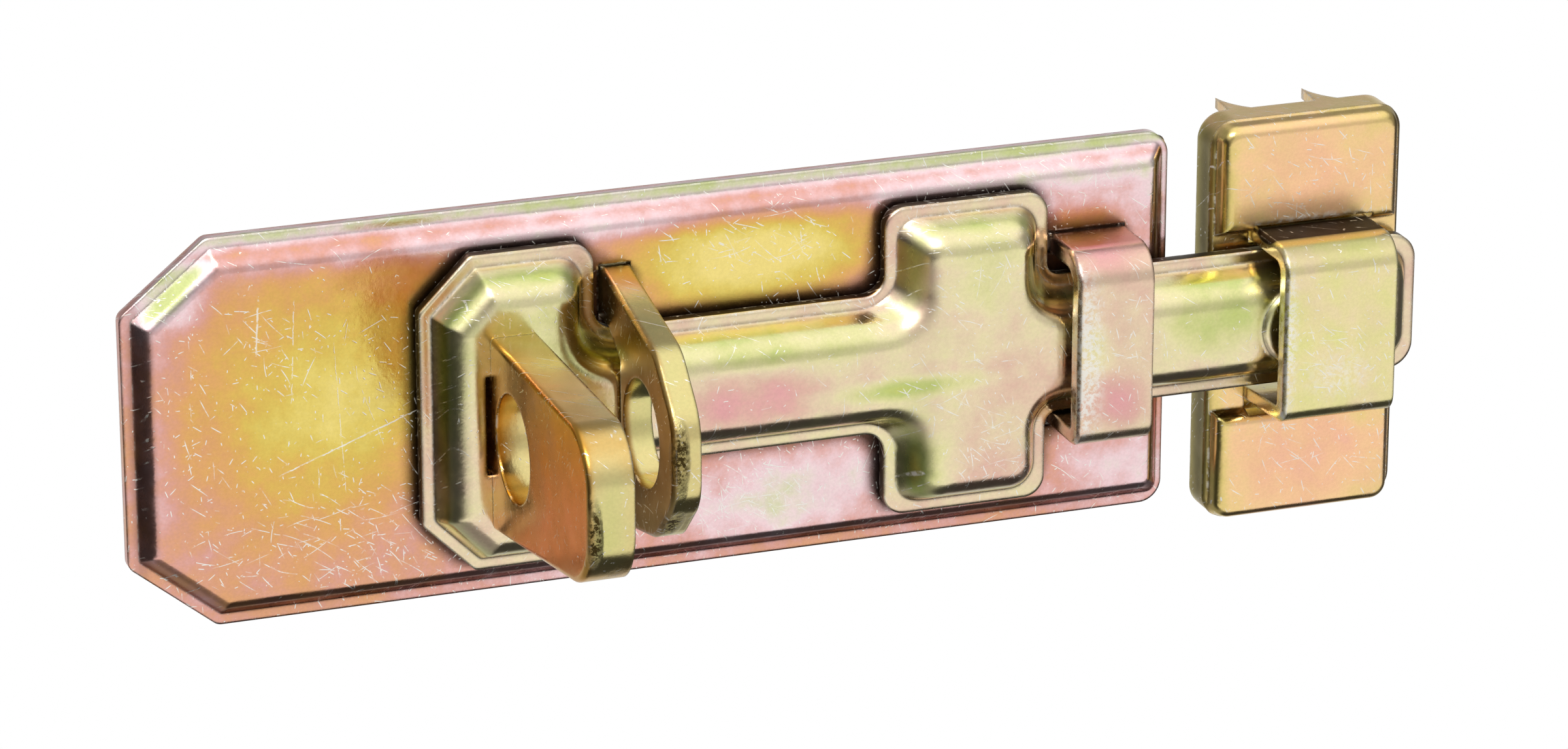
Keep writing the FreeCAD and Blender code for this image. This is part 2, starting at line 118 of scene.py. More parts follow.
@dataclass(frozen=True)
class Scratch:
    """A single drawn scratch between two points of the piece's scratch plane, in millimetres."""

    start: tuple[float, float]
    end: tuple[float, float]
    width: float
    strength: float
    breaks: float


@dataclass(frozen=True)
class Strokes:
    """A scatter of short scratches: cell size, half width, half length and share of cells marked."""

    cell: float
    width: float
    length: float
    share: float
    lean: float = 0.0
    spread: float = FULL_TURN
    strength: float = 0.7


@dataclass(frozen=True)
class Span:
    """A smooth step between two values, with its results at the first and at the second."""

    low: float
    high: float
    start: float = 0.0
    end: float = 1.0


@dataclass(frozen=True)
class Noise:
    """A noise: patches per millimetre, number of octaves and share of each finer octave."""

    scale: float
    detail: float
    roughness: float


@dataclass(frozen=True)
class Pattern:
    """A noise sharpened into patches."""

    noise: Noise
    step: Span


@dataclass(frozen=True)
class Hollow:
    """How far the shader looks for nearby walls, in millimetres, and whether only on the same piece."""

    reach: float
    samples: int
    own: bool


PLATE_FILM = (
    Stop(0.00, shown(250, 228, 142)),
    Stop(0.15, shown(226, 204, 94)),
    Stop(0.30, shown(228, 182, 96)),
    Stop(0.42, shown(230, 170, 112)),
    Stop(0.53, shown(226, 166, 136)),
    Stop(0.60, shown(226, 167, 158)),
    Stop(0.68, shown(238, 198, 196)),
    Stop(0.78, shown(252, 226, 234)),
    Stop(0.90, shown(214, 220, 168)),
    Stop(1.00, shown(204, 212, 138)),
)
COVER_FILM = (
    Stop(0.00, shown(196, 182, 98)),
    Stop(0.25, shown(238, 212, 136)),
    Stop(0.45, shown(252, 208, 158)),
    Stop(0.65, shown(250, 196, 154)),
    Stop(0.85, shown(248, 188, 166)),
    Stop(1.00, shown(232, 190, 184)),
)
BOLT_FILM = (
    Stop(0.00, shown(234, 170, 172)),
    Stop(0.18, shown(226, 184, 166)),
    Stop(0.34, shown(236, 212, 182)),
    Stop(0.50, shown(238, 230, 178)),
    Stop(0.66, shown(218, 216, 148)),
    Stop(0.80, shown(188, 206, 122)),
    Stop(1.00, shown(226, 212, 108)),
)
KEEPER_FILM = (
    Stop(0.00, shown(240, 214, 190)),
    Stop(0.25, shown(242, 222, 176)),
    Stop(0.45, shown(234, 226, 158)),
    Stop(0.60, shown(228, 226, 148)),
    Stop(0.80, shown(220, 224, 140)),
    Stop(1.00, shown(206, 214, 132)),
)
LUG_FILM = (
    Stop(0.00, shown(206, 146, 44)),
    Stop(0.30, shown(216, 166, 80)),
    Stop(0.55, shown(220, 186, 116)),
    Stop(0.80, shown(228, 214, 152)),
    Stop(1.00, shown(206, 204, 128)),
)
BARE_ZINC = shown(248, 246, 238)
# Painted shade: the brown-black laid into creases, hollows, tight gaps and shaded walls
SHADE_BROWN = shown(40, 26, 12)
TORN_STEEL = shown(92, 76, 40)
FLOOR_PAPER = shown(240, 240, 238)
WHITE = (1.0, 1.0, 1.0, 1.0)

# Scratches: how their lines fade, bend and break
FADE_OUT = Span(0.0, 1.0, 1.0, 0.0)
STROKE_END = Span(0.5, 1.0, 1.0, 0.0)
LINE_CORE = 0.3
STROKE_BOW = 0.12
STROKE_SHUFFLE = 61.0
SHORTEST_STROKE = 0.25
SCRATCH_WANDER = 0.5
TAPER_START = 0.44
TAPER_END = 0.5
GAP_LOW = 0.40
GAP_HIGH = 0.52
BROKEN = Noise(1.1, 3.0, 0.6)
STROKE_BREAKS = Span(0.42, 0.55, 0.25, 1.0)
CROWDING = Pattern(Noise(0.10, 2.0, 0.5), Span(0.36, 0.66, 0.2, 1.0))
FLECKS = Pattern(Noise(3.2, 2.0, 0.5), Span(0.72, 0.80))
FLECK_STRENGTH = 0.6

# Rubbed edges: how bent an edge has to be and how patchy the wear is
EDGE_BEND = Span(0.99, 0.86)
EDGE_RUB = Pattern(Noise(0.8, 4.0, 0.7), Span(0.46, 0.62))
WORN_PATCHES = Pattern(Noise(1.6, 4.0, 0.7), Span(0.40, 0.62))
WORN_BARE = 0.8
BEND_SAMPLES = 8

# Film: its broad and small changes of depth, slightly darker specks and the grain of torn steel
BROAD_DETAIL = 2.0
BROAD_ROUGHNESS = 0.5
SMALL_PATCHES = Noise(0.24, 5.0, 0.65)
SPECKS = Pattern(Noise(3.0, 2.0, 0.6), Span(0.35, 0.65, 0.95, 1.0))
TORN_GRAIN = Pattern(Noise(1.9, 5.0, 0.7), Span(0.42, 0.58))

# Painted shade: creases, deep hollows, tight gaps beside other pieces and sheared walls
OWN_HOLLOW = Hollow(1.4, 6, True)
GAP_BESIDE = Hollow(3.0, 8, False)
CREASE_BEND = Span(0.985, 0.90)
CREASE_DEPTH = Span(0.93, 0.72)
CREASE_STRENGTH = 0.7
DEEP = Span(0.7, 0.2, 0.0, 0.6)
BESIDE_LOW = 0.85
BESIDE_HIGH = 0.65
WALL_FACING = Span(0.6, 0.3)
WALL_STRENGTH = 0.92

# Roughness: handling, and what the painted shade, wear, scratches and torn steel add to it
HANDLING = Noise(0.22, 4.0, 0.6)
HANDLED_LOW = 0.3
HANDLED_HIGH = 0.7
GLOSSIER = 0.05
DULLER = 0.08
SHADE_ROUGH = 0.25
WEAR_ROUGH = 0.12
CUT_ROUGH = 0.16
TORN_ROUGH = 0.25

# Relief, in millimetres: waves of the sheet, its grain, scratch grooves and torn metal
WAVE = Noise(0.12, 1.0, 0.4)
GRAIN = Noise(1.3, 3.0, 0.6)
TEAR = Noise(1.0, 6.0, 0.75)
WAVE_HEIGHT = 0.16
GRAIN_HEIGHT = 0.012
CUT_HEIGHT = -0.006
TEAR_HEIGHT = 0.5


class Graph:
    """A small helper that lays nodes in one node tree and joins them."""

    def __init__(self, tree: bpy.types.NodeTree) -> None:
        """Empties the tree.

        Args:
            tree: The node tree to fill.
        """
        self.tree = tree
        self.tree.nodes.clear()

    def node(self, kind: str, **settings: object) -> bpy.types.Node:
        """Adds a node.

        Args:
            kind: Blender's name of the node type.
            **settings: Properties to set on the node.

        Returns:
            The new node.
        """
        made = self.tree.nodes.new(kind)
        for name, value in settings.items():
            setattr(made, name, value)
        return made

    def feed(self, socket: Socket, value: object) -> None:
        """Links a socket to an input, or sets the input's value."""
        if isinstance(value, bpy.types.NodeSocket):
            self.tree.links.new(value, socket)
        else:
            socket.default_value = value

    def sum(self, operation: str, first: object, second: object = 0.0, third: object = 0.0) -> Socket:
        """Adds a math node.

        Args:
            operation: The math operation.
            first: First socket or number.
            second: Second socket or number.
            third: Third socket or number.

        Returns:
            The value socket.
        """
        made = self.node("ShaderNodeMath", operation=operation)
        for socket, value in zip(made.inputs, (first, second, third)):
            self.feed(socket, value)
        return made.outputs[0]

    def vector(self, operation: str, first: object, second: object = (0.0, 0.0, 0.0)) -> bpy.types.Node:
        """Adds a vector math node and returns it."""
        made = self.node("ShaderNodeVectorMath", operation=operation)
        self.feed(made.inputs[0], first)
        self.feed(made.inputs[1], second)
        return made

    def axes(self, place: Socket) -> bpy.types.NodeOutputs:
        """Splits a vector and returns its three outputs."""
        made = self.node("ShaderNodeSeparateXYZ")
        self.feed(made.inputs[0], place)
        return made.outputs

    def ease(self, value: object, step: Span) -> Socket:
        """Maps a value smoothly along a step.

        Args:
            value: The socket or number to map.
            step: The step it follows.

        Returns:
            The eased value.
        """
        made = self.node("ShaderNodeMapRange", interpolation_type="SMOOTHSTEP")
        given = (value, step.low, step.high, step.start, step.end)
        for socket, number in zip(made.inputs, given):
            self.feed(socket, number)
        return made.outputs[0]

    def noise(self, place: Socket, kind: Noise) -> Socket:
        """Adds a noise.

        Args:
            place: The coordinates it reads.
            kind: Its scale and fineness.

        Returns:
            The noise from 0 to 1.
        """
        made = self.node("ShaderNodeTexNoise")
        self.feed(made.inputs["Vector"], place)
        made.inputs["Scale"].default_value = kind.scale
        made.inputs["Detail"].default_value = kind.detail
        made.inputs["Roughness"].default_value = kind.roughness
        return made.outputs[0]

    def patches(self, place: Socket, pattern: Pattern) -> Socket:
        """Adds a noise that is sharpened into patches."""
        return self.ease(self.noise(place, pattern.noise), pattern.step)

    def openness(self, kind: Hollow) -> Socket:
        """Tells how open a place is, from 1 in the open down to 0 between close walls."""
        made = self.node("ShaderNodeAmbientOcclusion", samples=kind.samples, only_local=kind.own)
        made.inputs["Distance"].default_value = kind.reach / MM
        return made.outputs["AO"]

    def blend(self, share: object, first: object, second: object, mode: str = "MIX") -> Socket:
        """Mixes two colours and returns the colour socket."""
        made = self.node("ShaderNodeMix", data_type="RGBA", blend_type=mode)
        self.feed(made.inputs[MIX_SHARE], share)
        self.feed(made.inputs[MIX_FIRST], first)
        self.feed(made.inputs[MIX_SECOND], second)
        return made.outputs[MIX_RESULT]

    def ramp(self, value: Socket, stops: Sequence[Stop]) -> Socket:
        """Turns a film depth into its colour.

        Args:
            value: The film depth.
            stops: Colours by depth, in rising order.

        Returns:
            The colour socket.
        """
        made = self.node("ShaderNodeValToRGB")
        ramp = made.color_ramp
        ramp.interpolation = "B_SPLINE"
        while len(ramp.elements) < len(stops):
            ramp.elements.new(1.0)
        for element, stop in zip(ramp.elements, stops):
            element.position = stop.depth
            element.color = stop.colour
        self.feed(made.inputs[0], value)
        return made.outputs[0]

    def nearness(self, place: Socket, centre: Point, reach: Point) -> Socket:
        """Gives a soft spot that is 1 at its centre and 0 past its reach.

        Args:
            place: Coordinates in millimetres.
            centre: Middle of the spot.
            reach: Half sizes along the three axes.

        Returns:
            The spot's strength.
        """
        away = self.vector("SUBTRACT", place, centre).outputs[0]
        scaled = self.vector("DIVIDE", away, reach).outputs[0]
        length = self.vector("LENGTH", scaled).outputs[1]
        return self.ease(length, FADE_OUT)

    def strokes(self, plane: Socket, kind: Strokes, crowd: object) -> Socket:
        """Scatters short, slightly bent scratches over a plane.

        Args:
            plane: Plane coordinates in millimetres.
            kind: Size, number and lean of the scratches.
            crowd: How thickly they lie at each place.

        Returns:
            The scratches' strength.
        """
        cells = self.node("ShaderNodeTexVoronoi", voronoi_dimensions="2D")
        self.feed(cells.inputs["Vector"], plane)
        cells.inputs["Scale"].default_value = 1.0 / kind.cell
        chances = self.node("ShaderNodeSeparateColor")
        self.feed(chances.inputs[0], cells.outputs["Color"])
        turned, picked, bowed = chances.outputs
        away = self.vector("SUBTRACT", plane, cells.outputs["Position"]).outputs[0]
        turn = self.node("ShaderNodeVectorRotate", rotation_type="Z_AXIS")
        self.feed(turn.inputs["Vector"], away)
        self.feed(turn.inputs["Angle"], self.sum("MULTIPLY_ADD", turned, kind.spread, kind.lean))
        ahead, aside, _ = self.axes(turn.outputs[0])
        bow = self.sum("MULTIPLY", self.sum("SUBTRACT", bowed, MIDDLE), STROKE_BOW)
        square = self.sum("MULTIPLY", ahead, ahead)
        across = self.sum("ABSOLUTE", self.sum("MULTIPLY_ADD", square, bow, aside))
        line = self.ease(across, Span(LINE_CORE * kind.width, kind.width, 1.0, 0.0))
        own = self.sum("FRACT", self.sum("MULTIPLY", picked, STROKE_SHUFFLE))
        shortest = SHORTEST_STROKE * kind.length
        reach = self.sum("MULTIPLY_ADD", own, kind.length - shortest, shortest)
        along = self.sum("DIVIDE", self.sum("ABSOLUTE", ahead), reach)
        end = self.ease(along, STROKE_END)
        marked = self.sum("LESS_THAN", picked, self.sum("MULTIPLY", crowd, kind.share))
        mask = self.sum("MULTIPLY", self.sum("MULTIPLY", line, end), marked)
        return self.sum("MULTIPLY", mask, kind.strength)

    def scratch(self, plane: Socket, cut: Scratch, broken: Socket) -> Socket:
        """Draws one straight scratch with gaps in it.

        Args:
            plane: Plane coordinates in millimetres.
            cut: The scratch's ends, width and strength.
            broken: Fine noise that interrupts the line.

        Returns:
            The scratch's strength.
        """
        start, end = Vector(cut.start), Vector(cut.end)
        length = (end - start).length
        centre = 0.5 * (start + end)
        ahead = (end - start) / length
        away = self.vector("SUBTRACT", plane, (centre.x, centre.y, 0.0)).outputs[0]
        along = self.vector("DOT_PRODUCT", away, (ahead.x, ahead.y, 0.0)).outputs[1]
        across = self.vector("DOT_PRODUCT", away, (-ahead.y, ahead.x, 0.0)).outputs[1]
        drift = self.sum("SUBTRACT", broken, MIDDLE)
        wander = self.sum("MULTIPLY_ADD", drift, SCRATCH_WANDER * cut.breaks, across)
        core = Span(LINE_CORE * cut.width, cut.width, 1.0, 0.0)
        line = self.ease(self.sum("ABSOLUTE", wander), core)
        taper = Span(TAPER_START * length, TAPER_END * length, 1.0, 0.0)
        ends = self.ease(self.sum("ABSOLUTE", along), taper)
        gaps = self.ease(broken, Span(GAP_LOW, GAP_HIGH, 1.0 - cut.breaks, 1.0))
        mask = self.sum("MULTIPLY", self.sum("MULTIPLY", line, ends), gaps)
        return self.sum("MULTIPLY", mask, cut.strength)


@dataclass(frozen=True)
class Layers:
    """What lies over the film at each place: painted shade, worn edges, scratches and torn steel."""

    shade: Socket
    wear: Socket
    cuts: Socket
    torn: Socket | float


@dataclass(frozen=True)
class PassivatedZinc:
    """Zinc plate under a thin yellow passive film whose depth changes its colour.

    Lengths are in millimetres. The film's depth runs from 0 to 1 along its stops.
    """

    name: str
    film: tuple[Stop, ...]
    depth: float
    patches: float
    patch_scale: float = 0.06
    mottle: float = 0.34
    face: Face = Face.FRONT
    roughness: float = 0.2
    edge_wear: float = 0.6
    softness: float = 0.5
    # The next two paint shade: its strength in tight gaps beside other pieces, and the depths, front to
    # back, over which side walls get it
    contact_shade: float = 0.0
    shaded_walls: tuple[float, float] | None = None
    marks: tuple[Mark, ...] = ()
    scratches: tuple[Scratch, ...] = ()
    strokes: tuple[Strokes, ...] = (
        Strokes(4.4, 0.075, 2.6, 0.40, strength=0.85),
        Strokes(2.3, 0.08, 1.4, 0.55, 0.5, 1.1, strength=0.95),
        Strokes(1.3, 0.08, 0.6, 0.55, strength=0.95),
        Strokes(0.8, 0.09, 0.22, 0.30, strength=0.9),
    )
    scuffs: tuple[Strokes, ...] = (
        Strokes(5.2, 0.075, 4.6, 1.0, 0.15, 0.9),
        Strokes(4.1, 0.07, 3.8, 1.0, -0.55, 0.5, strength=0.8),
        Strokes(3.1, 0.075, 2.8, 1.0, 0.3, 0.5, strength=0.9),
        Strokes(2.2, 0.08, 1.6, 1.0, -0.2, 1.4, strength=0.9),
    )
    offset: Point = (0.0, 0.0, 0.0)

    def material(self) -> bpy.types.Material:
        """Builds the finish as a material.

        Returns:
            The new material.
        """
        made = bpy.data.materials.new(self.name)
        made.use_nodes = True
        graph = Graph(made.node_tree)
        place = self._place(graph)
        soft = self._softened(graph)
        bend = self._bend(graph, soft)
        over = Layers(
            shade=self._shade(graph, place, bend),
            wear=self._wear(graph, place, bend),
            cuts=self._cuts(graph, place),
            torn=self._marked(graph, place, Effect.BREAK),
        )
        shader = graph.node("ShaderNodeBsdfPrincipled")
        shader.inputs["Metallic"].default_value = 1.0
        graph.feed(shader.inputs["Base Color"], self._colour(graph, place, over))
        graph.feed(shader.inputs["Roughness"], self._gloss(graph, place, over))
        graph.feed(shader.inputs["Normal"], self._relief(graph, place, soft, over))
        out = graph.node("ShaderNodeOutputMaterial")
        graph.feed(out.inputs[0], shader.outputs[0])
        return made

    def _place(self, graph: Graph) -> Socket:
        """Gives the piece's own coordinates in millimetres."""
        coordinates = graph.node("ShaderNodeTexCoord")
        return graph.vector("MULTIPLY", coordinates.outputs["Object"], (MM, MM, MM)).outputs[0]

    def _plane(self, graph: Graph, place: Socket) -> Socket:
        """Gives the two coordinates of the plane in which the scratches run."""
        flat = graph.node("ShaderNodeCombineXYZ")
        for socket, direction in zip(flat.inputs, self.face.value):
            graph.feed(socket, graph.vector("DOT_PRODUCT", place, direction).outputs[1])
        return flat.outputs[0]

    def _shifted(self, graph: Graph, place: Socket) -> Socket:
        """Moves the coordinates so that each piece shows its own patches."""
        return graph.vector("ADD", place, self.offset).outputs[0]

    def _marked(self, graph: Graph, place: Socket, effect: Effect) -> Socket | float:
        """Adds up the local marks that have one effect.

        Args:
            graph: The node helper.
            place: Coordinates in millimetres.
            effect: The effect to gather.

        Returns:
            The summed strength, or 0 where there are no such marks.
        """
        total: Socket | float = 0.0
        for mark in self.marks:
            if mark.effect is effect:
                near = graph.nearness(place, mark.centre, mark.reach)
                total = graph.sum("MULTIPLY_ADD", near, mark.amount, total)
        return total

    def _softened(self, graph: Graph) -> Socket:
        """Gives the surface's direction with its bends rounded off."""
        rounded = graph.node("ShaderNodeBevel", samples=BEND_SAMPLES)
        rounded.inputs["Radius"].default_value = self.softness / MM
        return rounded.outputs[0]

    def _bend(self, graph: Graph, soft: Socket) -> Socket:
        """Tells how far the rounded direction leans from the flat one, from 1 down."""
        true = graph.node("ShaderNodeNewGeometry")
        return graph.vector("DOT_PRODUCT", soft, true.outputs["Normal"]).outputs[1]

    def _wear(self, graph: Graph, place: Socket, bend: Socket) -> Socket:
        """Finds bent edges and marked places where the film has rubbed through.

        Args:
            graph: The node helper.
            place: Coordinates in millimetres.
            bend: How far the surface bends.

        Returns:
            The strength of the bare zinc, up to 1.
        """
        edge = graph.sum("MULTIPLY", graph.ease(bend, EDGE_BEND), graph.patches(place, EDGE_RUB))
        worn = graph.sum("MULTIPLY", edge, self.edge_wear)
        local = self._marked(graph, place, Effect.WEAR)
        patchy = graph.patches(place, WORN_PATCHES)
        return graph.sum("MINIMUM", graph.sum("MULTIPLY_ADD", patchy, local, worn), 1.0)

    def _cuts(self, graph: Graph, place: Socket) -> Socket:
        """Adds up the scattered strokes, the scuffed places, the single scratches and the flecks.

        Args:
            graph: The node helper.
            place: Coordinates in millimetres.

        Returns:
            The strength of the bare lines.
        """
        plane = self._plane(graph, place)
        broken = graph.noise(place, BROKEN)
        rubbed = self._marked(graph, place, Effect.SCUFF)
        crowd = graph.sum("ADD", graph.patches(self._shifted(graph, place), CROWDING), rubbed)
        total: Socket | float = 0.0
        for kind in self.strokes:
            total = graph.sum("MAXIMUM", graph.strokes(plane, kind, crowd), total)
        for kind in self.scuffs if rubbed else ():
            total = graph.sum("MAXIMUM", graph.strokes(plane, kind, rubbed), total)
        total = graph.sum("MULTIPLY", total, graph.ease(broken, STROKE_BREAKS))
        for cut in self.scratches:
            total = graph.sum("MAXIMUM", graph.scratch(plane, cut, broken), total)
        flecks = graph.sum("MULTIPLY", graph.patches(place, FLECKS), FLECK_STRENGTH)
        return graph.sum("MAXIMUM", total, flecks)

    def _colour(self, graph: Graph, place: Socket, over: Layers) -> Socket:
        """Colours the film by its depth, then bares the zinc where it is worn or cut.

        Args:
            graph: The node helper.
            place: Coordinates in millimetres.
            over: What lies over the film.

        Returns:
            The base colour.
        """
        shifted = self._shifted(graph, place)
        broad = graph.noise(shifted, Noise(self.patch_scale, BROAD_DETAIL, BROAD_ROUGHNESS))
        small = graph.noise(shifted, SMALL_PATCHES)
        broad = graph.sum("SUBTRACT", broad, MIDDLE)
        small = graph.sum("SUBTRACT", small, MIDDLE)
        depth = graph.sum("MULTIPLY_ADD", broad, 2.0 * self.patches, self.depth)
        depth = graph.sum("MULTIPLY_ADD", small, self.mottle, depth)
        depth = graph.sum("ADD", depth, self._marked(graph, place, Effect.FILM))
        speck = graph.patches(place, SPECKS)
        tone = graph.node("ShaderNodeCombineColor")
        for channel in tone.inputs:
            graph.feed(channel, speck)
        colour = graph.blend(1.0, graph.ramp(depth, self.film), tone.outputs[0], "MULTIPLY")
        # Painted shade: brown-black laid over the film where the shade mask is strong
        colour = graph.blend(over.shade, colour, SHADE_BROWN)
        torn = graph.sum("MULTIPLY", over.torn, graph.patches(place, TORN_GRAIN))
        colour = graph.blend(torn, colour, TORN_STEEL)
        colour = graph.blend(graph.sum("MULTIPLY", over.wear, WORN_BARE), colour, BARE_ZINC)
        return graph.blend(over.cuts, colour, BARE_ZINC)

    def _shade(self, graph: Graph, place: Socket, bend: Socket) -> Socket:
        """Paints shade into hollow bends, tight gaps beside other pieces, sheared walls and marked
        places.

        Args:
            graph: The node helper.
            place: Coordinates in millimetres.
            bend: How far the surface bends.

        Returns:
            The strength of the painted shade, up to 1.
        """
        # Painted shade in the piece's own creases and deep hollows
        open_own = graph.openness(OWN_HOLLOW)
        crease = graph.sum("MULTIPLY", graph.ease(bend, CREASE_BEND), graph.ease(open_own, CREASE_DEPTH))
        crease = graph.sum("MULTIPLY", crease, CREASE_STRENGTH)
        dark = graph.sum("MAXIMUM", crease, graph.ease(open_own, DEEP))
        # Painted shade in tight gaps beside other pieces
        if self.contact_shade:
            tight = Span(BESIDE_LOW, BESIDE_HIGH, 0.0, self.contact_shade)
            dark = graph.sum("MAXIMUM", dark, graph.ease(graph.openness(GAP_BESIDE), tight))
        # Painted shade on the side walls
        if self.shaded_walls:
            dark = graph.sum("MAXIMUM", dark, self._walls(graph, place, Span(*self.shaded_walls)))
        # Painted shade at marked places is added on top
        return graph.sum("MINIMUM", graph.sum("ADD", dark, self._marked(graph, place, Effect.GRIME)), 1.0)

    def _walls(self, graph: Graph, place: Socket, depth: Span) -> Socket:
        """Finds the sheared walls that stand square to the front, for painted shade on them.

        Args:
            graph: The node helper.
            place: Coordinates in millimetres.
            depth: Where the dark begins and is full, from front to back.

        Returns:
            The strength of the dark film on them.
        """
        facing = graph.axes(graph.node("ShaderNodeNewGeometry").outputs["Normal"])[1]
        wall = graph.ease(graph.sum("ABSOLUTE", facing), WALL_FACING)
        inside = graph.ease(graph.axes(place)[1], depth)
        return graph.sum("MULTIPLY", graph.sum("MULTIPLY", wall, inside), WALL_STRENGTH)

    def _gloss(self, graph: Graph, place: Socket, over: Layers) -> Socket:
        """Varies the roughness with handling and with what lies over the film.

        Args:
            graph: The node helper.
            place: Coordinates in millimetres.
            over: What lies over the film.

        Returns:
            The roughness.
        """
        handled = Span(HANDLED_LOW, HANDLED_HIGH, self.roughness - GLOSSIER, self.roughness + DULLER)
        rough = graph.ease(graph.noise(place, HANDLING), handled)
        rough = graph.sum("MULTIPLY_ADD", over.shade, SHADE_ROUGH, rough)
        rough = graph.sum("MULTIPLY_ADD", over.wear, WEAR_ROUGH, rough)
        rough = graph.sum("MULTIPLY_ADD", over.cuts, CUT_ROUGH, rough)
        rough = graph.sum("ADD", rough, self._marked(graph, place, Effect.MATT))
        return graph.sum("MULTIPLY_ADD", over.torn, TORN_ROUGH, rough)

    def _relief(self, graph: Graph, place: Socket, soft: Socket, over: Layers) -> Socket:
        """Adds the sheet's slight waves, its fine grain, scratch grooves and torn metal.

        Args:
            graph: The node helper.
            place: Coordinates in millimetres.
            soft: The rounded direction.
            over: What lies over the film.

        Returns:
            The surface's direction.
        """
        torn = graph.sum("MULTIPLY", graph.noise(place, TEAR), over.torn)
        height = graph.sum("MULTIPLY", graph.noise(place, WAVE), WAVE_HEIGHT)
        height = graph.sum("MULTIPLY_ADD", graph.noise(place, GRAIN), GRAIN_HEIGHT, height)
        height = graph.sum("MULTIPLY_ADD", over.cuts, CUT_HEIGHT, height)
        height = graph.sum("MULTIPLY_ADD", torn, TEAR_HEIGHT, height)
        bump = graph.node("ShaderNodeBump")
        bump.inputs["Strength"].default_value = 1.0
        bump.inputs["Distance"].default_value = 1.0 / MM
        graph.feed(bump.inputs["Height"], height)
        graph.feed(bump.inputs["Normal"], soft)
        return bump.outputs[0]


def dress(node: str, finish: PassivatedZinc) -> None:
    """Gives a CAD piece its finish.

    Args:
        node: Name of the piece.
        finish: The finish to put on it.
    """
    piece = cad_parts[node]
    made = finish.material()
    if not piece.material_slots:
        piece.data.materials.append(made)
    for slot in piece.material_slots:
        slot.link = "OBJECT"
        slot.material = made
    low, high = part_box(node)
    size = " x ".join(f"{(b - a) * MM:.1f}" for a, b in zip(low, high))
    LOG.info("%s: %s, %s mm", node, finish.name, size)


